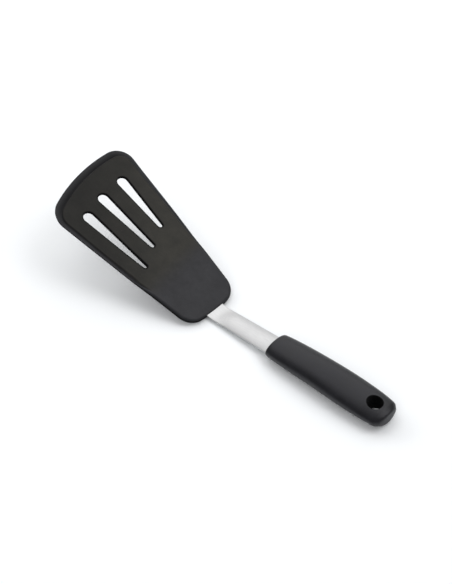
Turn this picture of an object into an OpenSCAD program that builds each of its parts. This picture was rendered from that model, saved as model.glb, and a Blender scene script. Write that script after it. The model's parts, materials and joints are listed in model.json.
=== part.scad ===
// Slotted spatula, lying on a table as it is used: heel and handle down, the head rising away from them.
// The head points to -X, the handle to +X, and +Y is the right-hand side of someone who holds it.

/* [Head outline] */
// Length of the head from heel to front edge, along its middle
head_len = 151; // [147:0.5:155]
// Distance from the middle line to the left side, at the heel's edge
heel_left_w = 24.5; // [23.6:0.1:26]
// Distance from the middle line to the right side, at the heel's edge
heel_right_w = 25.4; // [24.6:0.1:26.6]
// Distance between the sides at the front edge
front_w = 94.4; // [92:0.2:97]
// How far the right side swells past a straight line
side_swell = 0.9; // [0:0.1:1.2]
// Radius of the front edge
front_r = 140.6; // [130:0.2:152]
// Turn of the front edge that brings its right end forward, in degrees
front_skew = 9.5; // [8:0.5:11]
// Radius of the heel's edge
heel_r = 114; // [104:1:124]
// Radius of the front corner on the left
front_left_r = 17.9; // [16:0.1:19]
// Radius of the front corner on the right
front_right_r = 14.3; // [13:0.1:16]
// Radius of the heel's corner on the left
heel_left_r = 14.8; // [13:0.1:16]
// Radius of the heel's corner on the right
heel_right_r = 15.7; // [14:0.1:17]
// Angle that the head rises at, in degrees
head_tilt = 21.4; // [20:0.1:23]

/* [Head section] */
// Thickness of the head at its heel, where the edge is fully round
heel_t = 4.8; // [4.6:0.1:5.2]
// Thickness of the raised panel round the slots
panel_t = 2.2; // [2:0.1:2.6]
// Thickness of the lip
lip_t = 1.2; // [0.9:0.1:1.5]
// Length of the full thickness, from the heel
heel_flat = 20; // [17:1:24]
// Distance from the heel at which the head has thinned to the panel
taper_end = 80; // [70:1:90]
// Width of the lip along the sides, at the front
side_lip_w = 3.9; // [3:0.1:4.5]
// Width of the lip along the front edge
front_lip_w = 6.2; // [5:0.1:7]
// Distance from the heel at which the round edge starts to thin
edge_fade_start = 30; // [26:1:34]
// Distance from the heel at which the edge has thinned to the lip
edge_fade_end = 62; // [56:1:70]

/* [Slots] */
// Radius of a slot's wide front end
slot_wide_r = 4.6; // [4:0.1:4.8]
// Radius of a slot's narrow rear end
slot_narrow_r = 1.95; // [1.6:0.05:2.4]
// Distance of the left slot's rear end from the heel
left_rear_back = 60.4; // [57:0.1:64]
// Place of the left slot's rear end across the head, more to the right as it grows
left_rear_side = -16.3; // [-18:0.1:-14.5]
// Distance of the left slot's front end from the heel
left_front_back = 117.4; // [114:0.1:121]
// Place of the left slot's front end across the head
left_front_side = -21.3; // [-23:0.1:-19.5]
// Distance of the middle slot's rear end from the heel
middle_rear_back = 70.6; // [67:0.1:74]
// Place of the middle slot's rear end across the head
middle_rear_side = 1.4; // [0:0.1:3]
// Distance of the middle slot's front end from the heel
middle_front_back = 123; // [120:0.1:126]
// Place of the middle slot's front end across the head
middle_front_side = -0.5; // [-2:0.1:1]
// Distance of the right slot's rear end from the heel
right_rear_back = 80; // [77:0.1:83]
// Place of the right slot's rear end across the head
right_rear_side = 19.3; // [17.5:0.1:21]
// Distance of the right slot's front end from the heel
right_front_back = 125.5; // [122:0.1:129]
// Place of the right slot's front end across the head
right_front_side = 22.5; // [20.5:0.1:24.5]

/* [Core plate] */
// Thickness of the spring plate inside the head
core_t = 0.6; // [0.4:0.1:0.6]
// Height of the plate over the head's underside
core_z = 0.9; // [0.8:0.1:1]
// Silicone between the plate and a slot
slot_lining = 1.5; // [1.2:0.1:1.8]
// Diameter of the holes that the silicone grips through
bond_d = 4; // [3:0.5:5]

/* [Neck] */
// Thickness of the steel strip
strip_t = 1.5; // [1.2:0.1:1.5]
// Width of the strip at the heel
neck_heel_w = 17.3; // [16:0.1:18]
// Width of the strip at the handle
neck_grip_w = 19; // [18:0.1:20]
// Height of the strip's top at its bend in front of the heel
bend_z = 2.85; // [2.6:0.05:3.2]
// Height of the strip's top edges where they enter the handle
entry_z = 5.85; // [5.5:0.05:6.3]
// Rise of the crowned strip's middle over its edges
crown_h = 2.1; // [1.5:0.1:2.4]
// Length of the flat pad inside the head
pad_len = 26; // [22:1:30]
// Width of the tang inside the handle
tang_w = 13; // [11:0.5:14]
// Diameter of the tang's two holes
tang_hole_d = 6; // [4:0.5:7]

/* [Rivets] */
// Radius of a rivet's shank
rivet_r = 1.9; // [1.5:0.1:2.2]
// Radius of a rivet's head
rivet_head_r = 3.3; // [2.8:0.1:3.6]
// Thickness of a rivet's head
rivet_head_t = 0.5; // [0.4:0.1:0.5]
// Distance of the rivets from the heel's edge
rivet_back = 13; // [11:0.5:16]
// Distance of a rivet from the middle
rivet_side = 5; // [4.5:0.1:5.4]

/* [Handle] */
// Distance from the heel to the handle's front
grip_front = 60.5; // [58:0.5:62]
// Length of the handle
grip_len = 106.6; // [104:0.2:110]
// Radius of the hanging hole
hole_r = 6.1; // [5:0.1:6.5]
// Distance of the hanging hole from the handle's end
hole_back = 13.2; // [12.5:0.1:14.5]
// Grip's own wall round the hanging hole
hole_wall = 2; // [1.6:0.1:2.2]
// Half the height of the handle core
core_r = 3.6; // [3.4:0.1:3.8]
// Height of the handle core's middle
core_mid_z = 7.8; // [7.6:0.1:8]

/* [Hidden] */
$fn = 96;

// Senses along the middle line and across it
left = -1;
right = 1;
to_front = 1;
to_heel = -1;
// How far a cutter runs past what it cuts, and a size that spans any piece
slack = 1;
wide = 200;

// The plate's edge lies this far inside the head's, at the heel and at the front
plate_side_gaps = [7, 8];
plate_end_gaps = [4.5, 11];
plate_radii = [9, 9, 9, 9];
// Holes through the plate that the silicone runs through: behind the slots, between them and in front
bond_places = [
    [36, 0], [44, -12], [44, 12], [56, 6], [66, -27], [90, -8.5], [96, 10], [84, 31], [134, -12], [136, 12]
];
// Corner radii of the raised panel's front edge, left and right
panel_front_radii = [14, 12.5];
// The lip starts this far behind the place where the heel's round edge has thinned to it
lip_lap = 8;

// The handle along its length, by stations from its front: width, top and bottom
grip_widths = [[0, 23], [6, 24.7], [21, 26.5], [45, 27.7], [68, 29.1], [90, 28.2], [grip_len, 25.2]];
grip_tops = [[0, 13.6], [21, 15.7], [45, 17.4], [68, 17], [90, 15.6], [grip_len, 13.3]];
grip_bottoms = [[0, 0.2], [21, 0], [50, 0], [75, 0.3], [grip_len, 1.6]];
// The widest line lies at this share of the height
grip_widest = 0.57;
// The handle's end is rounded over this length, in plan and more gently in height
grip_end_len = 8.6;
grip_end_power = 3.2;
grip_end_drop = 3;
grip_rim_r = 1.6;

// Distances from the heel at which the crown starts, the strip bends, and the crown is whole
rise_x = 3;
bend_x = 7;
crown_full = 22;
// The crown's two stretches miss each other by this height, so that their faces cross
join_step = 0.1;
// The pad lies on the core plate, with a film of silicone between them
film_t = 0.2;
pad_z = core_z + core_t + film_t;
pad_top = pad_z + strip_t;
// Distance from the heel's edge back to where the strip leaves the head's plane
pad_end = 4;
// Distances from the heel along the handle: the core's front, the tang's end and its two holes
core_front = grip_front + 3.5;
tang_end = 126;
tang_holes = [82, 106];
tang_z = 6.25;
bar_half_w = 11;
hole_x = grip_front + grip_len - hole_back;

// A rivet head's radius falls by this much from its base to its top
rivet_head_bevel = 0.6;

edge_r = heel_t / 2;
// Layers of the heel's round edge: how far in from the outline and how far up from the underside
edge_steps = [[0.8, 0], [0.44, 0.13], [0.19, 0.33], [0, 0.6]] * edge_r;
heel_z = -min([for (step = edge_steps) step[0] * sin(head_tilt) + step[1] * cos(head_tilt)]);

function unit(v) = v / norm(v);
function mix(a, b, t) = a + (b - a) * t;

// Outline of the head: the head lies along -X, its heel's edge at the origin

front_c = [front_r * cos(front_skew) - head_len, front_r * sin(front_skew)];
heel_c = [-heel_r, 0];
function side_foot(s) = [0, s == left ? -heel_left_w : heel_right_w];
function side_head(s) = [-head_len, s * front_w / 2];
function outward(s) = let (d = unit(side_head(s) - side_foot(s))) [abs(d.y), s * abs(d.x)];
// Centre of a corner circle that touches a side line and lies inside an end's arc
function corner_c(arc_c, arc_r, foot, along, out, r, way) =
    let (start = foot - out * r, q = start - arc_c, b = q * along)
    start + along * (way * sqrt(b * b - q * q + pow(arc_r - r, 2)) - b);

// Corner circles of an outline set in from the head's edge: centre, radius, side normal and arc centre
function corners(sides, ends, radii) = [
    for (s = [left, right], way = [to_heel, to_front])
        let (
            foot = side_foot(s) - outward(s) * sides[0],
            head = side_head(s) - outward(s) * sides[1],
            along = unit(head - foot),
            out = [abs(along.y), s * abs(along.x)],
            arc_c = way == to_front ? front_c : heel_c,
            arc_r = way == to_front ? front_r - ends[1] : heel_r - ends[0],
            r = radii[(s == left ? 0 : 2) + (way == to_heel ? 0 : 1)]
        )
        [corner_c(arc_c, arc_r, foot, along, out, r, way), r, out, arc_c]
];
head_radii = [heel_left_r, front_left_r, heel_right_r, front_right_r];
head_corners = corners([0, 0], [0, 0], head_radii);
panel_radii = [heel_left_r - edge_r, panel_front_radii[0], heel_right_r - edge_r, panel_front_radii[1]];

// Heading of a direction, counted on from the left side's normal so that it grows round the outline
function heading(v) = atan2(v.y, v.x) + (atan2(v.y, v.x) < -90 ? 360 : 0);

// Points along an arc, its ends among them or, with first = 1, without its start
function arc(centre, r, from, to, first = 0, step = 7.5) =
    let (n = ceil((to - from) / step))
    [for (i = [first:n]) let (turn = from + (to - from) * i / n) centre + r * [cos(turn), sin(turn)]];

// Points along the right side, between the corners that it touches
function swelling(a, b, out, parts = 12) =
    [for (i = [1:parts - 1]) mix(a, b, i / parts) + out * side_swell * pow(sin(180 * i / parts), 2)];

// The outline from its left heel corner, by the heel, the right side and the front to the left side
module blade_shape(sides, ends, radii) {
    c = corners(sides, ends, radii);
    side = [for (one = c) heading(one[2])];
    end = [for (one = c) heading(one[0] - one[3])];
    touch = [for (one = c) one[0] + one[1] * one[2]];
    polygon(concat(
        arc(c[0][0], c[0][1], side[0], end[0]),
        arc(heel_c, heel_r - ends[0], end[0], end[2], 1, 1.5),
        arc(c[2][0], c[2][1], end[2], side[2], 1),
        swelling(touch[2], touch[3], c[2][2]),
        arc(c[3][0], c[3][1], side[3], end[3]),
        arc(front_c, front_r - ends[1], end[3], end[1], 1, 1.5),
        arc(c[1][0], c[1][1], end[1], side[1] + 360, 1)
    ));
}

// A slot: two round ends and the straight walls that touch both
module slot_shape(a, b, margin) {
    ra = slot_narrow_r + margin;
    rb = slot_wide_r + margin;
    along = atan2(b.y - a.y, b.x - a.x);
    lean = acos((ra - rb) / norm(b - a));
    polygon(concat(
        arc(a, ra, along + lean, along + 360 - lean, 0, 12),
        arc(b, rb, along - lean, along + lean, 0, 12)
    ));
}

module slot_shapes(margin = 0) {
    slot_shape([-left_rear_back, left_rear_side], [-left_front_back, left_front_side], margin);
    slot_shape([-middle_rear_back, middle_rear_side], [-middle_front_back, middle_front_side], margin);
    slot_shape([-right_rear_back, right_rear_side], [-right_front_back, right_front_side], margin);
}

// The heel's round edge, as layers that stand further out the nearer they are to its middle
module heel_edge() {
    for (step = edge_steps) {
        inset = [step[0], step[0]];
        translate([0, 0, step[1]])
            linear_extrude(heel_t - 2 * step[1])
                blade_shape(inset, inset, [for (r = head_radii) r - step[0]]);
    }
}

// Everything over a top surface that falls from the full thickness, seen from the side
module over_taper(start, end, end_z) {
    fall = (heel_t - end_z) / (end - start);
    rotate([90, 0, 0])
        linear_extrude(wide, center = true)
            polygon([
                [slack / fall - start, heel_t + slack], [-end, end_z],
                [-wide, end_z], [-wide, heel_t + slack]
            ]);
}

module head_body() {
    difference() {
        linear_extrude(heel_t)
            blade_shape([edge_r, side_lip_w], [edge_r, front_lip_w], panel_radii);
        over_taper(heel_flat, taper_end, panel_t);
    }
    difference() {
        heel_edge();
        over_taper(edge_fade_start, edge_fade_end, lip_t);
    }
    linear_extrude(lip_t)
        intersection() {
            blade_shape([0, 0], [0, 0], head_radii);
            translate([-wide - edge_fade_end + lip_lap, -wide / 2]) square([wide, wide]);
        }
}

module plate_body() {
    translate([0, 0, core_z])
        linear_extrude(core_t)
            difference() {
                blade_shape(plate_side_gaps, plate_end_gaps, plate_radii);
                slot_shapes(slot_lining);
                bond_holes();
            }
}

module bond_holes() {
    for (p = bond_places) {
        translate([-p.x, p.y]) circle(d = bond_d);
    }
}

module at_rivet(s) {
    translate([-rivet_back, s * rivet_side, 0]) children();
}

module rivet(s) {
    small_r = rivet_head_r - rivet_head_bevel;
    at_rivet(s) {
        translate([0, 0, core_z]) cylinder(h = pad_top - core_z, r = rivet_r);
        translate([0, 0, pad_top]) cylinder(h = rivet_head_t, r1 = rivet_head_r, r2 = small_r);
        translate([0, 0, core_z - rivet_head_t]) cylinder(h = rivet_head_t, r1 = small_r, r2 = rivet_head_r);
    }
}

module rivet_holes() {
    for (s = [left, right]) {
        at_rivet(s) translate([0, 0, core_z - slack]) cylinder(h = heel_t, r = rivet_r);
    }
}

// The neck's strip: a flat pad in the head's plane, a link out of the heel down to a bend, and a
// stretch that rises from there to the handle and is arched across

// A point of the head's middle in the side view: distance from the heel and height over the underside
function tilted(back, up) = [
    -back * cos(head_tilt) + up * sin(head_tilt),
    heel_z + back * sin(head_tilt) + up * cos(head_tilt)
];
bend = [bend_x, bend_z];
link = tilted(pad_end, pad_top);
neck_slope = (entry_z - bend_z) / (grip_front - bend_x);
function edge_z(x) =
    x < bend_x ? mix(bend_z, link.y, (bend_x - x) / (bend_x - link.x)) : bend_z + neck_slope * (x - bend_x);
function neck_half_w(x) =
    mix(neck_heel_w, neck_grip_w, max(0, x - bend_x) / (grip_front - bend_x)) / 2;
function top_at(x, up = 0) = [x, edge_z(x) + up];
crown_r = (pow(neck_grip_w / 2, 2) + crown_h * crown_h) / (2 * crown_h);
full = top_at(crown_full, crown_h);
entry = top_at(core_front, crown_h);

module seen_from_side() {
    rotate([90, 0, 0]) linear_extrude(wide, center = true) children();
}

// Everything over the strip's outline from above, round at the pad's end
module neck_plan(from, to) {
    linear_extrude(wide)
        polygon(concat(
            from < 0
                ? arc([from + neck_half_w(from), 0], neck_half_w(from), 90, 270, 0, 10)
                : [[from, neck_half_w(from)], [from, -neck_half_w(from)]],
            [[max(from, bend_x), -neck_half_w(from)], [to, -neck_half_w(to)]],
            [[to, neck_half_w(to)], [max(from, bend_x), neck_half_w(from)]]
        ));
}

// Pad, link and the flat start of the rising stretch
module flat_neck() {
    down = [0, strip_t];
    intersection() {
        neck_plan(-pad_len, crown_full);
        seen_from_side()
            polygon([
                tilted(wide / 2, pad_top), tilted(wide / 2, pad_z), tilted(pad_end, pad_z), bend - down,
                top_at(crown_full) - down, top_at(crown_full), bend, link
            ]);
    }
}

// A long round bar whose highest line runs through two points over the middle; a hollow one is smaller
// by the strip's thickness
module arch_bar(a, b, hollow = 0) {
    translate([a.x, 0, a.y])
        rotate([0, 90 - heading(b - a), 0])
            translate([crown_r, 0, -wide / 2]) cylinder(h = wide, r = crown_r - hollow, $fn = 360);
}

// Part of an arch over the strip's outline, above a line below its edges
module arch(a, b, from, to, drop) {
    intersection() {
        arch_bar(a, b);
        neck_plan(from, to);
        seen_from_side()
            polygon([
                top_at(from, -drop), top_at(max(from, bend_x), -drop), top_at(to, -drop),
                [to, wide], [from, wide]
            ]);
    }
}

// The crown grows out of the flat strip from just behind the bend
module heel_end_of_neck() {
    start = [rise_x, bend_z - neck_slope * (bend_x - rise_x)];
    end = full - [0, join_step];
    difference() {
        union() {
            flat_neck();
            arch(start, end, rise_x, crown_full, strip_t);
        }
        arch_bar(start, end, strip_t);
    }
}

module crowned_neck() {
    difference() {
        arch(full, entry, crown_full, core_front, 2 * strip_t);
        arch_bar(full, entry, strip_t);
    }
}

module tang() {
    start = grip_front + slack;
    end = tang_end - tang_w / 2;
    translate([0, 0, tang_z])
        linear_extrude(strip_t)
            difference() {
                polygon(concat(
                    [[start, tang_w / 2], [start, -tang_w / 2]],
                    arc([end, 0], tang_w / 2, -90, 90, 0, 10)
                ));
                for (x = tang_holes) {
                    translate([x, 0]) circle(d = tang_hole_d);
                }
            }
}

// Puts a piece drawn in the head's own plane where the head lies
module in_head() {
    translate([0, 0, heel_z]) rotate([0, head_tilt, 0]) children();
}

// The handle's outer shape: elliptical sections, widest behind its middle, with a blunt round end

// Smooth curve through a list of points, as a height over a distance
function slope_at(p, i) =
    i == 0 ? (p[1].y - p[0].y) / (p[1].x - p[0].x)
    : i == len(p) - 1 ? (p[i].y - p[i - 1].y) / (p[i].x - p[i - 1].x)
    : (p[i + 1].y - p[i - 1].y) / (p[i + 1].x - p[i - 1].x);
function span_of(p, x, i = 0) = i >= len(p) - 2 || x < p[i + 1].x ? i : span_of(p, x, i + 1);
function curve(p, x) =
    let (i = span_of(p, x), run = p[i + 1].x - p[i].x, t = (x - p[i].x) / run)
    p[i].y * (1 + 2 * t) * pow(1 - t, 2) + p[i + 1].y * t * t * (3 - 2 * t)
    + run * (slope_at(p, i) * t * pow(1 - t, 2) - slope_at(p, i + 1) * t * t * (1 - t));

// A solid through a list of rings with the same number of points each
module loft(rings) {
    n = len(rings[0]);
    last = (len(rings) - 1) * n;
    polyhedron(
        points = [for (ring = rings) each ring],
        faces = concat(
            [for (i = [0:n / 2 - 2]) each [[i, i + 1, n - 1 - i], [i + 1, n - 2 - i, n - 1 - i]]],
            [for (j = [0:n:last - n]) for (i = [0:n - 1])
                let (a = j + i, b = j + (i + 1) % n)
                each [[a, a + n, b], [b, a + n, b + n]]],
            [for (i = [0:n / 2 - 2])
                let (a = last + i, b = last + n - 1 - i)
                each [[a, b, a + 1], [a + 1, b, b - 1]]]
        )
    );
}

grip_sides = 36;
grip_stations = concat(
    [0, 0.5, 1.6, 4],
    [for (x = [10:7.5:grip_len - grip_end_len - 3]) x],
    [for (a = [6:12:90]) grip_len - grip_end_len * (1 - sin(a))]
);
function grip_ring(x) =
    let (
        in_end = max(0, (x - grip_len + grip_end_len) / grip_end_len),
        keep = pow(max(0, 1 - pow(in_end, grip_end_power)), 1 / grip_end_power),
        rim = max(0, grip_rim_r - x),
        rim_cut = grip_rim_r - sqrt(pow(grip_rim_r, 2) - rim * rim),
        half_w = max(0.6, (curve(grip_widths, x) / 2 - rim_cut) * keep),
        top = curve(grip_tops, x) - rim_cut - grip_end_drop * (1 - keep),
        bottom = curve(grip_bottoms, x) + rim_cut + grip_end_drop * (1 - keep),
        level = mix(bottom, top, grip_widest)
    )
    [for (i = [0:grip_sides - 1])
        let (a = 360 * i / grip_sides, rise = a < 180 ? top - level : level - bottom)
            [grip_front + x, half_w * cos(a), level + rise * sin(a)]];

module grip_body() {
    loft([for (x = grip_stations) grip_ring(x)]);
}

// The handle core: a bar with rounded sides, and an eye round the hanging hole

// Right edge of the bar, as distance from the heel and distance from the middle
bar_line = [
    [core_front, 8.2], [125, bar_half_w], [hole_x, 10.2], [hole_x + 6, 8.8], [hole_x + 10, 5.5]
];

module bar_plan() {
    polygon(concat(
        bar_line,
        [for (i = [len(bar_line) - 1:-1:0]) [bar_line[i].x, -bar_line[i].y]]
    ));
}

module bar_section() {
    flat = bar_half_w - core_r;
    for (s = [left, right]) {
        translate([s * flat, 0]) circle(core_r);
    }
    translate([-flat, -core_r]) square([2 * flat, 2 * core_r]);
}

module handle_bar() {
    intersection() {
        translate([0, 0, core_mid_z - core_r]) linear_extrude(2 * core_r) bar_plan();
        translate([0, 0, core_mid_z]) rotate([90, 0, 90]) linear_extrude(wide) bar_section();
    }
}

module upright_hole(r) {
    translate([hole_x, 0, -slack]) cylinder(h = wide / 5, r = r);
}

// The object's own origin is on the table, under the middle of its outer box
far_front = -(front_r - front_c.x) * cos(head_tilt);
far_end = grip_front + grip_len;
far_left = head_corners[1][0].y - front_left_r;
far_right = head_corners[3][0].y + front_right_r;
module place() {
    translate([-(far_front + far_end) / 2, -(far_left + far_right) / 2, 0]) children();
}

module silicone_head() {
    color("#383735")
        place()
            difference() {
                in_head()
                    difference() {
                        head_body();
                        translate([0, 0, -slack]) linear_extrude(heel_t + 2 * slack) slot_shapes();
                        plate_body();
                        rivet(left);
                        rivet(right);
                    }
                flat_neck();
            }
}

module core_plate() {
    color("#b4b6ba")
        place()
            in_head()
                difference() {
                    plate_body();
                    rivet_holes();
                }
}

module left_rivet() {
    color("#c8c9cb") place() in_head() rivet(left);
}

module right_rivet() {
    color("#c8c9cb") place() in_head() rivet(right);
}

module steel_neck() {
    color("#d6d6d8")
        place() {
            difference() {
                heel_end_of_neck();
                in_head() rivet_holes();
            }
            crowned_neck();
            tang();
        }
}

module handle_core() {
    color("#2b2c30")
        place()
            difference() {
                handle_bar();
                tang();
                upright_hole(hole_r + hole_wall);
            }
}

module soft_grip() {
    color("#343437")
        place()
            difference() {
                grip_body();
                difference() {
                    handle_bar();
                    upright_hole(hole_r + hole_wall);
                }
                crowned_neck();
                tang();
                upright_hole(hole_r);
            }
}

silicone_head();
core_plate();
left_rivet();
right_rivet();
steel_neck();
handle_core();
soft_grip();
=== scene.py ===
import json
import math

import bmesh
import bpy
import numpy as np
from mathutils import Matrix, Vector
from mathutils.geometry import delaunay_2d_cdt


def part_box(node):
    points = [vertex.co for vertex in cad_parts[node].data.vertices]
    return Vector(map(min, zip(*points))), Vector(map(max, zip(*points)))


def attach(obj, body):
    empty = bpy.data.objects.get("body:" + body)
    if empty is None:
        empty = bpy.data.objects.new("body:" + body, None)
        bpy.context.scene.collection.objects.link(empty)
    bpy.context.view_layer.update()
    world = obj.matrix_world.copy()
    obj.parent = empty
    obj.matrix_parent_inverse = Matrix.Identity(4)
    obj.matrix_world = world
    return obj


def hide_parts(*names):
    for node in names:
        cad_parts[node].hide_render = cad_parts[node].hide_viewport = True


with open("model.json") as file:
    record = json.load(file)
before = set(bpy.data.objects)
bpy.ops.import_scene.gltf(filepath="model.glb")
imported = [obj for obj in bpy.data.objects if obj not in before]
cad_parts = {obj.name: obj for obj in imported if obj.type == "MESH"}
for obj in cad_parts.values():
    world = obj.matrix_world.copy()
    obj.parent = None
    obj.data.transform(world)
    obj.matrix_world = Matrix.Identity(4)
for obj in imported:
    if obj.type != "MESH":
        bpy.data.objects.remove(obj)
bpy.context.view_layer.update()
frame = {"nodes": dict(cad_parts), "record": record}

# Sizes are in millimetres in the drawing's frame: the heel's edge at x = 0 on the middle line, the table
# at z = 0, the head towards -x and the handle towards +x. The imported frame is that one, shifted
mm = 0.001
gripFront = 60.5
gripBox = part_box("soft_grip")
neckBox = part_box("steel_neck")
shift = np.array([
    gripBox[0][0] - gripFront * mm,
    (neckBox[0][1] + neckBox[1][1]) / 2,
    0.0,
])
holeAxis = next(m["pos_m"] for m in frame["record"]["mounts"] if m["name"] == "hanging_hole")


def smooth(t):
    t = np.clip(t, 0.0, 1.0)
    return t * t * (3 - 2 * t)


def mix(a, b, t):
    return a + (b - a) * t


# Meshes

# One closed mesh from points in millimetres, riding where its CAD node was. Marks are values at its points
# that the material reads
def makePiece(name, points, faces, material, node, marks=None):
    mesh = bpy.data.meshes.new(name)
    mesh.from_pydata((points * mm + shift).tolist(), [], faces)
    for mark, values in (marks or {}).items():
        mesh.attributes.new(mark, "FLOAT", "POINT").data.foreach_set("value", values)
    piece = bpy.data.objects.new(name, mesh)
    bpy.context.scene.collection.objects.link(piece)
    work = bmesh.new()
    work.from_mesh(mesh)
    bmesh.ops.remove_doubles(work, verts=work.verts, dist=0.002 * mm)
    bmesh.ops.dissolve_degenerate(work, edges=work.edges, dist=0.001 * mm)
    bmesh.ops.recalc_face_normals(work, faces=work.faces)
    openEdges = sum(1 for edge in work.edges if len(edge.link_faces) != 2)
    work.to_mesh(mesh)
    work.free()
    mesh.polygons.foreach_set("use_smooth", [True] * len(mesh.polygons))
    mesh.materials.append(material)
    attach(piece, "root")
    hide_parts(node)
    print(f"{name}: {len(mesh.polygons)} faces, {openEdges} open edges")


# Quads between closed rings of the same number of points that follow one another
def ringFaces(rings, count, start=0):
    faces = []
    for first in range(start, start + (rings - 1) * count, count):
        for i in range(count):
            a, b = first + i, first + (i + 1) % count
            faces.append((a, b, b + count, a + count))
    return faces


# Which points lie inside a closed outline
def insideLoop(points, loop):
    inside = np.zeros(len(points), bool)
    for (x0, y0), (x1, y1) in zip(loop, np.roll(loop, -1, 0)):
        crosses = (y0 > points[:, 1]) != (y1 > points[:, 1])
        with np.errstate(divide="ignore", invalid="ignore"):
            at = (x1 - x0) * (points[:, 1] - y0) / (y1 - y0) + x0
        inside ^= crosses & (points[:, 0] < at)
    return inside


# Triangles that fill an outline round its holes, with evenly spaced points between them
def fillLoops(outer, holes, spacing):
    rowShare, clearShare = 0.87, 0.6
    loops = [outer] + holes
    low, high = outer.min(0), outer.max(0)
    xs = np.arange(low[0], high[0], spacing)
    ys = np.arange(low[1], high[1], spacing * rowShare)
    grid = np.array([(x + (k % 2) * spacing / 2, y) for k, y in enumerate(ys) for x in xs])
    keep = insideLoop(grid, outer)
    for loop in loops:
        gap = np.min(np.linalg.norm(grid[:, None] - loop[None], axis=2), axis=1)
        keep &= gap > spacing * clearShare
    for hole in holes:
        keep &= ~insideLoop(grid, hole)
    points = np.vstack(loops + [grid[keep]])
    outlines = []
    first = 0
    for loop in loops:
        outlines.append(list(range(first, first + len(loop))))
        first += len(loop)
    found = delaunay_2d_cdt([Vector(p) for p in points], [], outlines, 0, 1e-5)
    # A triangle of the plate lies in the first outline and in no other
    triangles = [tuple(face) for face, within in zip(found[2], found[5]) if list(within) == [0]]
    return np.array([v[:] for v in found[0]]), triangles


# Materials

# Nearly all of a noise lies between these
noiseLow, noiseHigh = 0.3, 0.7


# Linear light from an sRGB hex colour
def linear(hexColour):
    channels = [int(hexColour[i:i + 2], 16) / 255 for i in (1, 3, 5)]
    return tuple(c / 12.92 if c <= 0.04045 else ((c + 0.055) / 1.055) ** 2.4 for c in channels) + (1.0,)


# A shader node with its settings and its inputs. An input is a value, another node's output, or another
# node, which gives its first output in use. Of a colour Mix, 0 is the factor, and 6 and 7 are the colours
def addNode(tree, kind, inputs, **settings):
    made = tree.nodes.new("ShaderNode" + kind)
    for key, value in settings.items():
        setattr(made, key, value)
    for socket, value in inputs.items():
        if isinstance(value, bpy.types.Node):
            value = next(output for output in value.outputs if output.enabled)
        if isinstance(value, bpy.types.NodeSocket):
            tree.links.new(value, made.inputs[socket])
        else:
            made.inputs[socket].default_value = value
    return made


def startMaterial(name):
    material = bpy.data.materials.new(name)
    material.use_nodes = True
    tree = material.node_tree
    tree.nodes.clear()
    return material, tree, addNode(tree, "TexCoord", {}).outputs["Object"]


# Silicone, moulded and left satin: a soft sheen, faint flow clouds and specks of dust on a fine grain. The
# panel is a warm charcoal, with painted light making it lighter at its rear, a cooler painted reflection on
# the heel and the lip, and painted shade, dark and dull, in the slots' walls, the lip's valley and round the
# edge.
# The clouds run between the two tones of a pair, and sizes are in mm
siliconeLook = {
    # The rear tones are painted light, the cool tones a painted reflection, and the dull tone painted shade
    "panel": ("#12110e", "#1f1e1b"), "rear": ("#24231f", "#33312c"), "coolReflection": ("#27272a", "#343437"),
    "dust": "#3a3936", "dullPaintedShade": "#030303",
    "cloudSize": 12, "patchSize": 6, "rough": (0.40, 0.48), "ior": 1.41, "specular": 0.25,
    # The real grain is about 0.1 mm wide, too fine to show, so it is drawn coarser
    "grainSize": 0.7, "grainDepth": 0.03,
    # Only the peaks of a noise are dust, and they cover what lies under them in part
    "dustSize": 0.9, "dustPeaks": (0.70, 0.76), "dustCover": 0.35,
}


def makeSilicone():
    look = siliconeLook
    material, tree, place = startMaterial("satinSilicone")
    cloudNoise = addNode(tree, "TexNoise", {
        "Vector": place, "Scale": 1 / (look["cloudSize"] * mm), "Detail": 5, "Roughness": 0.7,
    })
    clouds = addNode(tree, "MapRange", {"Value": cloudNoise, "From Min": noiseLow, "From Max": noiseHigh})
    panel, rear, coolReflection = (
        addNode(tree, "Mix", {0: clouds, 6: linear(dark), 7: linear(light)}, data_type="RGBA")
        for dark, light in (look["panel"], look["rear"], look["coolReflection"])
    )
    rearLightMark, coolReflectionMark, dullShadeMark = (
        addNode(tree, "Attribute", {}, attribute_name=mark).outputs["Fac"]
        for mark in ("rear", "coolReflection", "dullPaintedShade")
    )
    dustNoise = addNode(tree, "TexNoise", {
        "Vector": place, "Scale": 1 / (look["dustSize"] * mm), "Detail": 1,
    })
    dust = addNode(tree, "MapRange", {
        "Value": dustNoise, "From Min": look["dustPeaks"][0], "From Max": look["dustPeaks"][1],
        "To Max": look["dustCover"],
    })
    # Painted light towards the rear, a painted cool reflection, real dust, then painted shade over them all
    tone = addNode(tree, "Mix", {0: rearLightMark, 6: panel, 7: rear}, data_type="RGBA")
    tone = addNode(tree, "Mix", {0: coolReflectionMark, 6: tone, 7: coolReflection}, data_type="RGBA")
    tone = addNode(tree, "Mix", {0: dust, 6: tone, 7: linear(look["dust"])}, data_type="RGBA")
    tone = addNode(tree, "Mix", {0: dullShadeMark, 6: tone, 7: linear(look["dullPaintedShade"])}, data_type="RGBA")
    patches = addNode(tree, "TexNoise", {"Vector": place, "Scale": 1 / (look["patchSize"] * mm), "Detail": 3})
    satin = addNode(tree, "MapRange", {
        "Value": patches, "From Min": noiseLow, "From Max": noiseHigh,
        "To Min": look["rough"][0], "To Max": look["rough"][1],
    })
    rough = addNode(tree, "Math", {0: satin, 1: dullShadeMark}, operation="MAXIMUM")
    grain = addNode(tree, "TexNoise", {"Vector": place, "Scale": 1 / (look["grainSize"] * mm), "Detail": 4})
    relief = addNode(tree, "Bump", {"Height": grain, "Distance": look["grainDepth"] * mm})
    shader = addNode(tree, "BsdfPrincipled", {
        "Base Color": tone, "Roughness": rough, "Normal": relief,
        "IOR": look["ior"], "Specular IOR Level": look["specular"],
    })
    addNode(tree, "OutputMaterial", {"Surface": shader})
    return material


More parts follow.
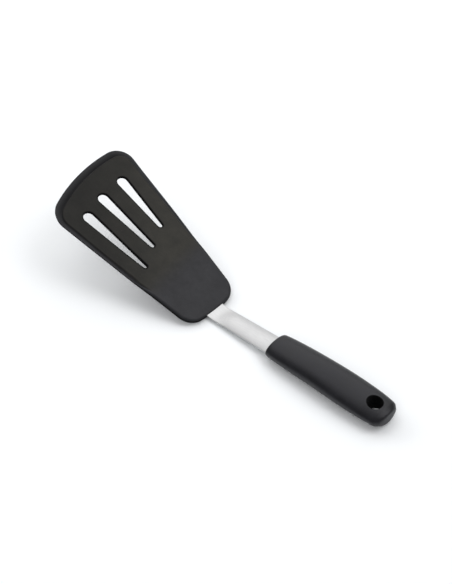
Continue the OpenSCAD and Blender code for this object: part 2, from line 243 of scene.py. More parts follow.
# Stainless steel, rolled bright and brushed along the strip: soft long reflections, with a thin film of
# handling marks that dulls it in patches. Sizes are in mm
steelLook = {
    "tones": ("#cbcbcc", "#dadada"), "rough": (0.44, 0.52), "filmSize": 14, "filmRough": 0.06,
    # Brushed lines are about 0.05 mm apart, too fine to show, so they are drawn coarser
    "lineSize": 0.35, "lineStretch": 90, "lineDepth": 0.02,
}


def makeSteel():
    look = steelLook
    material, tree, place = startMaterial("brushedSteel")
    along = addNode(tree, "Mapping", {"Vector": place, "Scale": (1 / look["lineStretch"], 1, 1)})
    lines = addNode(tree, "TexNoise", {"Vector": along, "Scale": 1 / (look["lineSize"] * mm), "Detail": 3})
    shades = addNode(tree, "MapRange", {"Value": lines, "From Min": noiseLow, "From Max": noiseHigh})
    dark, light = look["tones"]
    tone = addNode(tree, "Mix", {0: shades, 6: linear(dark), 7: linear(light)}, data_type="RGBA")
    brushed = addNode(tree, "MapRange", {
        "Value": lines, "From Min": noiseLow, "From Max": noiseHigh,
        "To Min": look["rough"][0], "To Max": look["rough"][1],
    })
    patches = addNode(tree, "TexNoise", {"Vector": place, "Scale": 1 / (look["filmSize"] * mm), "Detail": 2})
    film = addNode(tree, "MapRange", {
        "Value": patches, "From Min": noiseLow, "From Max": noiseHigh, "To Max": look["filmRough"],
    })
    rough = addNode(tree, "Math", {0: brushed, 1: film}, operation="ADD")
    relief = addNode(tree, "Bump", {"Height": lines, "Distance": look["lineDepth"] * mm})
    shader = addNode(tree, "BsdfPrincipled", {
        "Base Color": tone, "Roughness": rough, "Normal": relief, "Metallic": 1.0,
    })
    addNode(tree, "OutputMaterial", {"Surface": shader})
    return material


# Soft-touch elastomer, moulded in a spark-eroded tool: nearly black and matt, slightly grey where light
# grazes it, and cooler in its sheen. The hanging hole's wall is painted black as shade, and quite dull. Sizes
# are in mm
gripLook = {
    "tones": ("#0a0a0d", "#131318"), "toneSpan": (0.35, 0.65), "hole": "#000000",
    "handlingSize": 12, "rough": (0.37, 0.43), "ior": 1.46, "specular": 0.47, "sheen": (0.95, 0.95, 1.0, 1.0),
    # The hole's painted shade and dullness go over into the grip's look between these radii from the hole's
    # axis
    "holeRadii": (6.2, 6.6),
    # Spark-eroded grain is about 0.1 mm wide, too fine to show, so it is drawn coarser
    "grainSize": 0.7, "grainDepth": 0.05,
}


def makeGrip():
    look = gripLook
    material, tree, place = startMaterial("softTouchGrip")
    fromAxis = addNode(tree, "VectorMath", {0: place, 1: [-v for v in holeAxis[:2]] + [0]}, operation="ADD")
    flat = addNode(tree, "VectorMath", {0: fromAxis, 1: (1, 1, 0)}, operation="MULTIPLY")
    distance = addNode(tree, "VectorMath", {0: flat}, operation="LENGTH")
    holeDullShade = addNode(tree, "MapRange", {
        "Value": distance, "From Min": look["holeRadii"][0] * mm, "From Max": look["holeRadii"][1] * mm,
        "To Min": 1, "To Max": 0,
    })
    handling = addNode(tree, "TexNoise", {
        "Vector": place, "Scale": 1 / (look["handlingSize"] * mm), "Detail": 5, "Roughness": 0.7,
    })
    shades = addNode(tree, "MapRange", {
        "Value": handling, "From Min": look["toneSpan"][0], "From Max": look["toneSpan"][1],
    })
    dark, light = look["tones"]
    tone = addNode(tree, "Mix", {0: shades, 6: linear(dark), 7: linear(light)}, data_type="RGBA")
    # Painted shade: the hanging hole's wall is black
    tone = addNode(tree, "Mix", {0: holeDullShade, 6: tone, 7: linear(look["hole"])}, data_type="RGBA")
    matt = addNode(tree, "MapRange", {
        "Value": handling, "From Min": noiseLow, "From Max": noiseHigh,
        "To Min": look["rough"][0], "To Max": look["rough"][1],
    })
    rough = addNode(tree, "Math", {0: matt, 1: holeDullShade}, operation="MAXIMUM")
    grain = addNode(tree, "TexNoise", {
        "Vector": place, "Scale": 1 / (look["grainSize"] * mm), "Detail": 4, "Roughness": 0.6,
    })
    relief = addNode(tree, "Bump", {"Height": grain, "Distance": look["grainDepth"] * mm})
    shader = addNode(tree, "BsdfPrincipled", {
        "Base Color": tone, "Roughness": rough, "Normal": relief,
        "IOR": look["ior"], "Specular IOR Level": look["specular"], "Specular Tint": look["sheen"],
    })
    addNode(tree, "OutputMaterial", {"Surface": shader})
    return material


# Rolled spring steel and rivet steel inside the head: grey, with fine rolling lines that are drawn coarser
# than they are. Nylon of the handle's core, moulded: dark and satin, with a faint flow pattern. Sizes are
# in mm
innerLooks = {
    "rolledSteel": {
        "tones": ("#a9abae", "#c4c5c7"), "size": 0.5, "stretch": 40, "rough": (0.35, 0.45), "depth": 0.01,
        "shader": {"Metallic": 1.0},
    },
    "mouldedNylon": {
        "tones": ("#232426", "#2c2d30"), "size": 9, "stretch": 4, "rough": (0.4, 0.5), "depth": 0.02,
        "shader": {"IOR": 1.53},
    },
}


def makeInner(name):
    look = innerLooks[name]
    material, tree, place = startMaterial(name)
    along = addNode(tree, "Mapping", {"Vector": place, "Scale": (1 / look["stretch"], 1, 1)})
    flow = addNode(tree, "TexNoise", {"Vector": along, "Scale": 1 / (look["size"] * mm), "Detail": 3})
    dark, light = look["tones"]
    tone = addNode(tree, "Mix", {0: flow, 6: linear(dark), 7: linear(light)}, data_type="RGBA")
    rough = addNode(tree, "MapRange", {
        "Value": flow, "From Min": noiseLow, "From Max": noiseHigh,
        "To Min": look["rough"][0], "To Max": look["rough"][1],
    })
    relief = addNode(tree, "Bump", {"Height": flow, "Distance": look["depth"] * mm})
    shader = addNode(tree, "BsdfPrincipled", {
        "Base Color": tone, "Roughness": rough, "Normal": relief, **look["shader"],
    })
    addNode(tree, "OutputMaterial", {"Surface": shader})
    return material


# Head: a flexible plate with a thick round heel, a thin lip and three slots

head = {
    "length": 151.0, "heelHalf": {"left": 24.5, "right": 25.4}, "frontWidth": 94.4, "sideSwell": 0.9,
    "heelRadius": 114.0, "frontRadius": 140.6, "frontSkew": math.radians(9.5),
    "corners": {
        ("left", "heel"): 14.8, ("left", "front"): 17.9, ("right", "heel"): 15.7, ("right", "front"): 14.3,
    },
    "tilt": math.radians(21.4),
    "heelT": 4.8, "panelT": 2.2, "lipT": 1.2,
    # Distances from the heel between which the plate and its edge grow thin, and the cool painted reflection
    # ends
    "taper": (12.0, 84.0), "lipGrows": (30.0, 62.0), "coolReflectionEnds": (36.0, 54.0), "coolReflectionSlant": 0.14,
    # Width of the lip along the sides, by distance from the heel, and along the front
    "sideLips": ((34, 0.0), (60, 2.7), (90, 3.0), (115, 3.7), (150, 3.9)), "frontLip": 6.2,
    # Half the width of the step up to the panel, the groove at its foot, and the painted shade in the lip's
    # valley: its width and depth
    "stepHalf": 0.6, "groove": 0.12, "valley": 0.8, "valleyShade": 0.74,
    # Painted light: the panel's tone grows lighter from this place, over these distances, towards its rear
    # and its right
    "paintedLightFrom": (-110.0, -30.0), "paintedLightOver": (112.0, 95.0),
    "cornerSpacing": 0.9, "edgeSpacing": 1.6, "fillSpacing": 2.6,
    # Widths of the bands of rings round the head and round a slot, and the radius of a slot's edge
    "band": 10.0, "slotBand": 2.2, "slotEdge": 0.4,
    # Each slot: its rear end from the heel and to the right, that end's radius, and the same for its front
    "slots": (
        ((60.4, -16.3), 1.65, (117.4, -21.3), 4.55),
        ((70.6, 1.4), 1.85, (123.0, -0.5), 4.45),
        ((80.0, 19.3), 1.95, (125.5, 22.5), 4.45),
    ),
}


# Height of the head's top over its underside
def panelHeight(x):
    start, end = head["taper"]
    return mix(head["heelT"], head["panelT"], smooth((-x - start) / (end - start)))


# From the head's own plane to where the head lies
def inHead(points):
    turn = head["tilt"]
    low = -head["heelT"] / 2 * (math.sin(turn) + math.cos(turn) - 1)
    x, y, z = np.asarray(points).T
    return np.c_[x * math.cos(turn) + z * math.sin(turn), y, low - x * math.sin(turn) + z * math.cos(turn)]


# Points of an arc and the directions that they face
def arcPoints(centre, radius, start, end, spacing):
    count = max(2, int(abs(end - start) * radius / spacing))
    turns = np.linspace(start, end, count + 1)
    facing = np.c_[np.cos(turns), np.sin(turns)]
    return centre + radius * facing, facing


# Centre and radius of each corner's circle, and the headings at which it meets the side and the end's arc
def headCorners(heel, front):
    corners = {}
    for side, sign in (("left", -1), ("right", 1)):
        foot = np.array([0.0, sign * head["heelHalf"][side]])
        along = np.array([-head["length"], sign * head["frontWidth"] / 2]) - foot
        along /= np.linalg.norm(along)
        out = np.array([abs(along[1]), sign * abs(along[0])])
        for end, way, arcCentre, arcRadius in (
            ("heel", -1, heel, head["heelRadius"]), ("front", 1, front, head["frontRadius"]),
        ):
            radius = head["corners"][side, end]
            start = foot - out * radius
            q = start - arcCentre
            b = q @ along
            reach = way * math.sqrt(b * b - q @ q + (arcRadius - radius) ** 2) - b
            centre = start + along * reach
            toEnd = centre - arcCentre
            endHeading = math.atan2(toEnd[1], toEnd[0]) % (2 * math.pi)
            corners[side, end] = (centre, radius, math.atan2(out[1], out[0]), endHeading)
    return corners


# Points round the head, the directions that they face, and the lip's width at each
def headOutline():
    skew = head["frontSkew"]
    front = np.array([
        head["frontRadius"] * math.cos(skew) - head["length"], head["frontRadius"] * math.sin(skew),
    ])
    heel = np.array([-head["heelRadius"], 0.0])
    corners = headCorners(heel, front)
    heelLeft, heelRight = corners["left", "heel"], corners["right", "heel"]
    frontLeft, frontRight = corners["left", "front"], corners["right", "front"]
    full = 2 * math.pi
    fine, coarse = head["cornerSpacing"], head["edgeSpacing"]
    stretches = [
        ("heel", arcPoints(heelLeft[0], heelLeft[1], heelLeft[2], heelLeft[3] - full, fine)),
        ("heel", arcPoints(heel, head["heelRadius"], heelLeft[3] - full, heelRight[3], coarse)),
        ("heel", arcPoints(heelRight[0], heelRight[1], heelRight[3], heelRight[2], fine)),
        ("rightSide", None),
        ("rightCorner", arcPoints(frontRight[0], frontRight[1], frontRight[2], frontRight[3], fine)),
        ("front", arcPoints(front, head["frontRadius"], frontRight[3], frontLeft[3], coarse)),
        ("leftCorner", arcPoints(frontLeft[0], frontLeft[1], frontLeft[3], frontLeft[2] + full, fine)),
        ("leftSide", None),
    ]
    points, facing, lips = [], [], []
    sideLip, frontLip = head["sideLips"][-1][1], head["frontLip"]
    for k, (kind, stretch) in enumerate(stretches):
        if stretch is None:
            before = stretches[k - 1][1]
            after = stretches[(k + 1) % len(stretches)][1]
            count = int(np.linalg.norm(after[0][0] - before[0][-1]) / coarse)
            t = np.linspace(0, 1, count + 1)[1:-1, None]
            out = np.repeat(before[1][-1:], count - 1, 0)
            swell = head["sideSwell"] if kind == "rightSide" else 0.0
            stretch = (mix(before[0][-1], after[0][0], t) + out * swell * np.sin(math.pi * t) ** 2, out)
        elif k and stretches[k - 1][1] is not None:
            # The arc before this one has made the point that they share
            stretch = (stretch[0][1:], stretch[1][1:])
        where = np.linspace(0, 1, len(stretch[0]))
        alongSide = np.interp(-stretch[0][:, 0], *zip(*head["sideLips"]))
        points.append(stretch[0])
        facing.append(stretch[1])
        lips.append({
            "heel": np.zeros(len(where)),
            "rightSide": alongSide,
            "leftSide": alongSide,
            "rightCorner": mix(sideLip, frontLip, smooth(where)),
            "front": np.full(len(where), frontLip),
            "leftCorner": mix(frontLip, sideLip, smooth(where)),
        }[kind])
    return np.vstack(points), np.vstack(facing), np.concatenate(lips)


# How much of the heel's cooler painted reflection a place in the plan has
def heelCoolReflection(flat):
    start, end = head["coolReflectionEnds"]
    return 1 - smooth((-flat[:, 0] - head["coolReflectionSlant"] * flat[:, 1] - start) / (end - start))


# Rings from the panel's top over the lip and round the edge to the underside, with their marks of cool
# painted reflection and of dull painted shade, and the loop in which they start
def outerBand():
    points, facing, lips = headOutline()
    start, end = head["lipGrows"]
    rim = mix(head["heelT"], head["lipT"], smooth((-points[:, 0] - start) / (end - start)))
    rim = np.minimum(rim, panelHeight(points[:, 0]))
    radius = rim / 2
    half = head["stepHalf"]
    leastFlat, shadeRings, fullShadeRise = 0.15, 6, 0.8
    lip = np.maximum(lips, radius + half + leastFlat)
    # Distances in from the outline: over the round edge, the lip, the step and the band behind it
    quarter = np.radians(np.linspace(0, 90, 8))
    levels = [radius * (1 - np.cos(turn)) for turn in quarter]
    levels += [mix(radius, lip - half, t) for t in (0.2, 0.4, 0.6, 0.8, 0.9, 1.0)]
    levels += [mix(lip - half, lip + half, t) for t in np.linspace(0, 1, 11)[1:]]
    levels += [mix(lip + half, head["band"], t) for t in (0.08, 0.3, 0.6, 1.0)]
    top, under, coolReflection, dullPaintedShade = [], [], [], []
    for k, inset in enumerate(levels):
        flat = points - facing * inset[:, None]
        fromFoot = inset - lip + half
        step = smooth(fromFoot / (2 * half))
        if k < len(quarter):
            rise = radius * math.sin(quarter[k])
            topZ = radius + rise
            underZ = radius - rise
            # Painted shade on the round edge, darkest at its outside
            shade = smooth(np.full(len(flat), 1 - k / shadeRings))
        else:
            level = panelHeight(flat[:, 0])
            groove = head["groove"] * np.exp(-(fromFoot / half) ** 2) * np.minimum(level - rim, 1)
            topZ = mix(rim, level, step) - groove
            underZ = np.zeros(len(flat))
            # Painted shade in the lip's valley, deeper on a wider lip and a higher step
            valley = np.exp(-(np.minimum(fromFoot, 0) / (head["valley"] * lip)) ** 2) * (1 - step)
            depth = head["valleyShade"] * lip / head["frontLip"] * smooth((level - rim) / fullShadeRise)
            shade = valley * depth
        top.append(np.c_[flat, topZ])
        under.append(np.c_[flat, underZ])
        # A painted cool reflection over the lip and the heel
        coolReflection.append(np.maximum(1 - step, heelCoolReflection(flat)))
        dullPaintedShade.append(shade)
    # Underneath, the painted shade stays on the round edge only
    plain = [shade if k < len(quarter) else shade * 0 for k, shade in enumerate(dullPaintedShade)]
    return top[::-1] + under[1:], coolReflection[::-1] + coolReflection[1:], dullPaintedShade[::-1] + plain[1:], top[-1][:, :2]


# A slot's outline and the directions from the slot into the plate
def slotLoop(rear, rearRadius, front, frontRadius):
    a = np.array([-rear[0], rear[1]])
    b = np.array([-front[0], front[1]])
    course = b - a
    heading = math.atan2(course[1], course[0])
    lean = math.acos((rearRadius - frontRadius) / np.linalg.norm(course))
    rearSpacing, frontSpacing, sideSpacing = 0.35, 0.6, 1.3
    rearEnd = arcPoints(a, rearRadius, heading + lean, heading + 2 * math.pi - lean, rearSpacing)
    frontEnd = arcPoints(b, frontRadius, heading - lean, heading + lean, frontSpacing)
    loop, facing = [], []
    for before, after in ((rearEnd, frontEnd), (frontEnd, rearEnd)):
        count = int(np.linalg.norm(after[0][0] - before[0][-1]) / sideSpacing)
        t = np.linspace(0, 1, count + 1)[1:-1, None]
        loop += [before[0], mix(before[0][-1], after[0][0], t)]
        facing += [before[1], np.repeat(before[1][-1:], count - 1, 0)]
    return np.vstack(loop), np.vstack(facing)


# Rings from the plate's top round a slot's edge, down its wall and out under the plate, with their marks
# of dull painted shade, and the loop in which they start
def slotBand(slot):
    points, facing = slotLoop(*slot)
    edge = head["slotEdge"]
    turns = np.radians(np.linspace(90, 0, 5))
    offsets = [head["slotBand"], 1.3, 0.8] + [edge * (1 - math.cos(turn)) for turn in turns]
    drops = [0.0, 0.0, 0.0] + [edge * (1 - math.sin(turn)) for turn in turns]
    dullShadeWidth, dullShadeFull = 1.3, 1.25
    rings, dullPaintedShade = [], []
    for side, order in (("top", 1), ("under", -1)):
        for offset, drop in list(zip(offsets, drops))[::order]:
            flat = points + facing * offset
            height = panelHeight(flat[:, 0]) - drop if side == "top" else np.full(len(flat), drop)
            rings.append(np.c_[flat, height])
            # Painted shade, dark on the slot's wall and fading over its edge
            dullPaintedShade.append(np.full(len(flat), smooth(dullShadeFull - offset / dullShadeWidth)))
    return rings, dullPaintedShade, rings[0][:, :2]


def makeHead(material):
    points, faces, coolReflection, dullPaintedShade = [], [], [], []

    def addRings(rings, ringCoolReflection, ringDullShade):
        faces.extend(ringFaces(len(rings), len(rings[0]), sum(map(len, points))))
        points.extend(rings)
        coolReflection.extend(ringCoolReflection)
        dullPaintedShade.extend(ringDullShade)

    rings, ringCoolReflection, ringDullShade, inner = outerBand()
    addRings(rings, ringCoolReflection, ringDullShade)
    holes = []
    for slot in head["slots"]:
        rings, ringDullShade, loop = slotBand(slot)
        addRings(rings, [heelCoolReflection(ring) for ring in rings], ringDullShade)
        holes.append(loop)
    flat, triangles = fillLoops(inner, holes, head["fillSpacing"])
    for height in (panelHeight(flat[:, 0]), np.zeros(len(flat))):
        first = sum(map(len, points))
        faces.extend(tuple(first + i for i in face) for face in triangles)
        points.append(np.c_[flat, height])
        coolReflection.append(heelCoolReflection(flat))
        dullPaintedShade.append(np.zeros(len(flat)))
    flat = np.vstack(points)
    # Painted light: the panel lighter towards its rear and its right
    rear = smooth(((flat[:, :2] - head["paintedLightFrom"]) / head["paintedLightOver"]).sum(axis=1))
    marks = {"coolReflection": np.concatenate(coolReflection), "dullPaintedShade": np.concatenate(dullPaintedShade), "rear": rear}
    makePiece("headSkin", inHead(flat), faces, material, "silicone_head", marks)


# Neck: one strip, flat in the heel, bent there, crowned between the heel and the handle, narrow in the handle

neck = {
    "thickness": 1.5, "heelWidth": 17.3, "gripWidth": 19.0, "tangWidth": 13.0, "edge": 0.45,
    "padTop": 3.2, "padStart": -23.6, "padEnd": 4.0, "bend": (7.0, 2.85), "entry": (60.5, 5.85),
    "tangTop": 7.75, "tangNarrows": (62.0, 67.0), "tangEnd": 126.0,
    "crown": 2.1, "crownGrows": (3.5, 21.0), "crownEnds": (61.0, 66.0), "bendReach": 2.0,
}


# Height of the strip's top edges, with its bends rounded
def neckLine(x):
    far, entryX, tangX = 60.0, 63.0, 67.0
    top = neck["padTop"]
    bend, entry = neck["bend"], neck["entry"]
    slope = (entry[1] - bend[1]) / (entry[0] - bend[0])
    pad = inHead([[-far, 0, top], [-neck["padEnd"], 0, top]])
    knots = [
        *((x, z) for x, _, z in pad), bend,
        (entryX, entry[1] + slope * (entryX - entry[0])), (tangX, neck["tangTop"]),
    ]
    reach = np.linspace(-neck["bendReach"], neck["bendReach"], 9)
    return np.mean([np.interp(x + d, *zip(*knots)) for d in reach], axis=0)


def neckHalfWidth(x):
    heel, grip, tang = (neck[k] / 2 for k in ("heelWidth", "gripWidth", "tangWidth"))
    width = mix(heel, grip, np.clip((x - neck["bend"][0]) / (gripFront - neck["bend"][0]), 0, 1))
    start, end = neck["tangNarrows"]
    width = mix(width, tang, smooth((x - start) / (end - start)))
    padRound = np.clip((x - neck["padStart"] - heel) / heel, -1, 0)
    tangRound = np.clip((x - neck["tangEnd"] + tang) / tang, 0, 1)
    leastShare = 0.01
    for away in (padRound, tangRound):
        width = width * np.sqrt(np.maximum(1 - away ** 2, leastShare))
    return width


def makeNeck(material):
    # Close together where the strip shows, further apart in the grip, and round both ends
    padFull = neck["padStart"] + neck["heelWidth"] / 2
    tangFull = neck["tangEnd"] - neck["tangWidth"] / 2
    fineEnd, fine, coarseStart, coarse = 68, 0.8, 70, 4
    turns = np.radians(np.linspace(4, 90, 10))
    xs = np.concatenate([
        padFull - neck["heelWidth"] / 2 * np.cos(turns),
        np.arange(padFull + 1, fineEnd, fine),
        np.arange(coarseStart, tangFull, coarse),
        tangFull + neck["tangWidth"] / 2 * np.cos(turns[::-1]),
    ])
    grow, end = neck["crownGrows"], neck["crownEnds"]
    crown = neck["crown"] * smooth((xs - grow[0]) / (grow[1] - grow[0]))
    crown *= 1 - smooth((xs - end[0]) / (end[1] - end[0]))
    # How the strip leans along its length
    near = 0.2
    tips = np.arctan((neckLine(xs + near) - neckLine(xs - near)) / (2 * near))
    edge, thick = neck["edge"], neck["thickness"]
    across = np.linspace(-1, 1, 25)
    edgeTurns = np.radians(np.linspace(90, -90, 9))[1:-1]
    out = edge * np.cos(edgeTurns)
    up = thick / 2 * (np.sin(edgeTurns) - 1)
    rings = []
    for x, top, rise, half, tip in zip(xs, neckLine(xs), crown, neckHalfWidth(xs), tips):
        k = across * (half - edge) / half
        flat, height = k * half, rise * (1 - k * k)
        lean = np.arctan(-2 * rise * k / half)
        turn = lean[-1]
        rightEdge = np.c_[
            flat[-1] + out * math.cos(turn) - up * math.sin(turn),
            height[-1] + out * math.sin(turn) + up * math.cos(turn),
        ]
        underside = np.c_[flat + thick * np.sin(lean), height - thick * np.cos(lean)]
        ring = np.vstack([np.c_[flat, height], rightEdge, underside[::-1], rightEdge[::-1] * (-1, 1)])
        rings.append(np.c_[x - ring[:, 1] * math.sin(tip), ring[:, 0], top + ring[:, 1] * math.cos(tip)])
    count = len(rings[0])
    faces = ringFaces(len(rings), count)
    faces.append(tuple(range(count)))
    faces.append(tuple(range(len(rings) * count - 1, (len(rings) - 1) * count - 1, -1)))
    makePiece("neckStrip", np.vstack(rings), faces, material, "steel_neck")


# Grip: an oval sleeve, widest behind its middle, with a blunt round end and the hanging hole

grip = {
    "length": 106.6,
    # Width, top and bottom, by distance from the front
    "widths": ((0, 23.0), (6, 24.7), (21, 26.5), (45, 27.7), (68, 29.1), (90, 28.2), (106.6, 25.2)),
    "tops": ((0, 13.6), (21, 15.7), (45, 17.4), (68, 17.0), (90, 15.6), (106.6, 13.3)),
    "bottoms": ((0, 0.2), (21, 0.0), (50, 0.0), (75, 0.3), (106.6, 1.6)),
    "widest": 0.57, "endLength": 8.6, "endPower": 3.2, "endDrop": 3.0, "rim": 1.6,
    "holeBack": 13.2, "holeRadius": 6.1, "holeEdge": 0.45,
    # How far the patch round the hole goes towards the front and towards the end
    "patch": (9.4, 9.0), "patchTurn": 50,
    "sides": 64,
}


# A smooth curve through knots
def throughKnots(knots, x):
    kx, ky = (np.array(v, float) for v in zip(*knots))
    slopes = np.gradient(ky, kx)
    slopes[1:-1] = (ky[2:] - ky[:-2]) / (kx[2:] - kx[:-2])
    i = np.clip(np.searchsorted(kx, x, "right") - 1, 0, len(kx) - 2)
    run = kx[i + 1] - kx[i]
    t = (x - kx[i]) / run
    return (
        ky[i] * (1 + 2 * t) * (1 - t) ** 2 + ky[i + 1] * t * t * (3 - 2 * t)
        + run * (slopes[i] * t * (1 - t) ** 2 - slopes[i + 1] * t * t * (1 - t))
    )


# Half width, height of the widest line, and the heights over and under it, at a distance from the front
def gripSection(x):
    inEnd = np.clip((x - grip["length"] + grip["endLength"]) / grip["endLength"], 0, 1)
    keep = (1 - inEnd ** grip["endPower"]) ** (1 / grip["endPower"])
    inRim = np.clip(grip["rim"] - x, 0, grip["rim"])
    rimCut = grip["rim"] - np.sqrt(grip["rim"] ** 2 - inRim ** 2)
    leastHalf = 0.3
    halfW = np.maximum(leastHalf, (throughKnots(grip["widths"], x) / 2 - rimCut) * keep)
    cut = rimCut + grip["endDrop"] * (1 - keep)
    top = throughKnots(grip["tops"], x) - cut
    bottom = throughKnots(grip["bottoms"], x) + cut
    middle = mix(bottom, top, grip["widest"])
    return halfW, middle, top - middle, middle - bottom


# Points of the grip's top or underside over plan positions
def gripSurface(flat, side):
    halfW, middle, over, below = gripSection(flat[:, 0])
    rise = np.sqrt(np.maximum(0, 1 - (flat[:, 1] / halfW) ** 2))
    return np.c_[flat, middle + (over if side > 0 else -below) * rise]


def makeGripBody(material):
    length, sides, rim = grip["length"], grip["sides"], grip["rim"]
    holeX = length - grip["holeBack"]
    patch = np.linspace(holeX - grip["patch"][0], holeX + grip["patch"][1], 15)
    endTurns = np.radians(np.arange(50, 91, 2))
    bodyStart, spacing, leastGap = 3, 2.5, 1.5
    xs = np.concatenate([
        rim * (1 - np.cos(np.radians(np.linspace(0, 90, 7)))),
        np.arange(bodyStart, patch[0] - leastGap, spacing),
        patch,
        length - grip["endLength"] * (1 - np.sin(endTurns) ** (2 / grip["endPower"])),
    ])
    xs = np.unique(np.round(xs, 4))
    first = int(np.argmin(abs(xs - patch[0])))
    last = int(np.argmin(abs(xs - patch[-1])))
    turns = 2 * np.pi * np.arange(sides) / sides
    rings = [
        np.c_[np.full(sides, x), w * np.cos(turns), m + np.where(turns < np.pi, over, below) * np.sin(turns)]
        for x, w, m, over, below in zip(xs, *gripSection(xs))
    ]
    # The grid leaves out a patch over and under the hole, from one line of points to another
    lowTurn = round(sides * grip["patchTurn"] / 360)
    highTurn = sides // 2 - lowTurn
    faces = []
    for j in range(len(rings) - 1):
        for i in range(sides):
            overHole = lowTurn <= i < highTurn or sides - highTurn <= i < sides - lowTurn
            if first <= j < last and overHole:
                continue
            a, b = j * sides + i, j * sides + (i + 1) % sides
            faces.append((a, b, b + sides, a + sides))
    points = [np.vstack(rings)]
    total = len(points[0])
    # Each end closes in smaller rings round a middle point
    for end, scales in ((0, (0.93, 0.8, 0.5)), (len(rings) - 1, (0.5,))):
        ring = rings[end]
        middle = ring.mean(0)
        closing = [ring] + [middle + (ring - middle) * s for s in scales]
        faces += ringFaces(len(closing), sides, total)
        points += closing + [middle[None]]
        total += len(closing) * sides
        faces += [(total - sides + i, total - sides + (i + 1) % sides, total) for i in range(sides)]
        total += 1
    # Round each patch, rings run from its square edge to the hole and on through the grip
    border = [(first, i) for i in range(lowTurn, highTurn)]
    border += [(j, highTurn) for j in range(first, last)]
    border += [(last, i) for i in range(highTurn, lowTurn, -1)]
    border += [(j, lowTurn) for j in range(last, first, -1)]
    square = np.array([rings[j][i, :2] for j, i in border])
    away = square - (holeX, 0)
    around = away / np.linalg.norm(away, axis=1)[:, None]
    radius, edge = grip["holeRadius"], grip["holeEdge"]
    mouth = (holeX, 0) + around * (radius + edge)
    halves = []
    for side in (1, -1):
        stack = [gripSurface(mix(square, mouth, t), side) for t in (0, 0.2, 0.42, 0.64, 0.84, 0.95, 1.0)]
        level = stack[-1][:, 2]
        for turn in np.radians(np.linspace(0, 90, 7))[1:]:
            flat = (holeX, 0) + around * (radius + edge * (1 - math.sin(turn)))
            stack.append(np.c_[flat, level - side * edge * (1 - math.cos(turn))])
        halves.append(stack)
    top, under = halves
    wall = [mix(top[-1], under[-1], t) for t in (0.25, 0.5, 0.75)]
    tunnel = top + wall + under[::-1]
    faces += ringFaces(len(tunnel), len(border), total)
    placed = np.vstack(points + tunnel) + (gripFront, 0, 0)
    makePiece("gripSleeve", placed, faces, material, "soft_grip")


silicone = makeSilicone()
steel = makeSteel()
gripRubber = makeGrip()
rolledSteel = makeInner("rolledSteel")
nylon = makeInner("mouldedNylon")
print("materials made")

makeHead(silicone)
makeNeck(steel)
makeGripBody(gripRubber)

innerPieces = {
    "core_plate": rolledSteel, "left_rivet": rolledSteel, "right_rivet": rolledSteel, "handle_core": nylon,
}
for name, material in innerPieces.items():
    node = frame["nodes"][name]
    node.data.materials.clear()
    node.data.materials.append(material)
print("inner pieces dressed")


# Studio

camera = {
    "azimuth": 42.45, "elevation": 44.4, "distance": 1335.3, "aim": (-2.56, 15.97, 8.12),
    "focalPixels": 1775.1, "framePixels": 584, "sensor": 24,
}


def makeCamera():
    turn = math.radians(camera["azimuth"])
    lift = math.radians(camera["elevation"])
    back = Vector((math.sin(turn) * math.cos(lift), -math.cos(turn) * math.cos(lift), math.sin(lift)))
    right = Vector((math.cos(turn), math.sin(turn), 0))
    up = back.cross(right)
    data = bpy.data.cameras.new("camera")
    data.sensor_fit = "VERTICAL"
    data.sensor_height = camera["sensor"]
    data.lens = camera["focalPixels"] * camera["sensor"] / camera["framePixels"]
    data.clip_end = 20
    eye = bpy.data.objects.new("camera", data)
    place = Vector(np.array(camera["aim"]) * mm + shift) + back * camera["distance"] * mm
    eye.matrix_world = Matrix.Translation(place) @ Matrix((right, up, back)).transposed().to_4x4()
    bpy.context.scene.collection.objects.link(eye)
    bpy.context.scene.camera = eye


# Painted board, matt and pale, with the faintest unevenness. Sizes are in mm
floorLook = {"tone": "#fbfdff", "rough": 0.85, "specular": 0.2, "unevenSize": 3, "unevenDepth": 0.01}


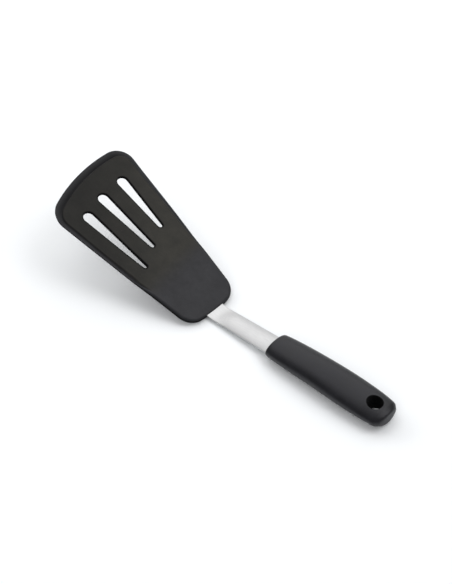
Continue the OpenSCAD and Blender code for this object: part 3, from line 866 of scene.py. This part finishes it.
def makeFloor():
    look = floorLook
    mesh = bpy.data.meshes.new("floor")
    half = 3.0
    corners = [(-half, -half, 0), (half, -half, 0), (half, half, 0), (-half, half, 0)]
    mesh.from_pydata(corners, [], [(0, 1, 2, 3)])
    floor = bpy.data.objects.new("floor", mesh)
    bpy.context.scene.collection.objects.link(floor)
    material, tree, place = startMaterial("paleFloor")
    waves = addNode(tree, "TexNoise", {"Vector": place, "Scale": 1 / (look["unevenSize"] * mm), "Detail": 2})
    relief = addNode(tree, "Bump", {"Height": waves, "Distance": look["unevenDepth"] * mm})
    shader = addNode(tree, "BsdfPrincipled", {
        "Base Color": linear(look["tone"]), "Roughness": look["rough"],
        "Specular IOR Level": look["specular"], "Normal": relief,
    })
    addNode(tree, "OutputMaterial", {"Surface": shader})
    mesh.materials.append(material)


# Softboxes round the table: azimuth from +X and elevation in degrees, side in metres, power in watts, and
# whether it leaves a sheen. Those without one only lighten the shadows
lampReach = 1.7
worldStrength = 0.285
studio = {
    "backSoftbox": (130, 50, 2.2, 18.0, True),
    "rightSoftbox": (38, 52, 1.2, 8.5, True),
    "topSoftbox": (208, 62, 1.0, 1.9, True),
    "headSoftbox": (190, 20, 1.2, 12.0, False),
    "nearSoftbox": (300, 36, 1.2, 6.8, False),
}


def makeLight(name, azimuth, elevation, side, power, sheen):
    turn, lift = math.radians(azimuth), math.radians(elevation)
    towards = Vector((math.cos(turn) * math.cos(lift), math.sin(turn) * math.cos(lift), math.sin(lift)))
    data = bpy.data.lights.new(name, "AREA")
    data.size = side
    data.energy = power
    lamp = bpy.data.objects.new(name, data)
    lamp.visible_glossy = sheen
    lamp.location = towards * lampReach
    lamp.rotation_euler = (-towards).to_track_quat("-Z", "Y").to_euler()
    bpy.context.scene.collection.objects.link(lamp)


def makeWorld():
    world = bpy.data.worlds.new("studio")
    world.use_nodes = True
    tree = world.node_tree
    tree.nodes.clear()
    sky = addNode(tree, "Background", {"Color": (1, 1, 1, 1), "Strength": worldStrength})
    addNode(tree, "OutputWorld", {"Surface": sky})
    bpy.context.scene.world = world


makeCamera()
makeFloor()
for name, values in studio.items():
    makeLight(name, *values)
makeWorld()
bpy.context.scene.view_settings.view_transform = "Standard"
print("studio set")
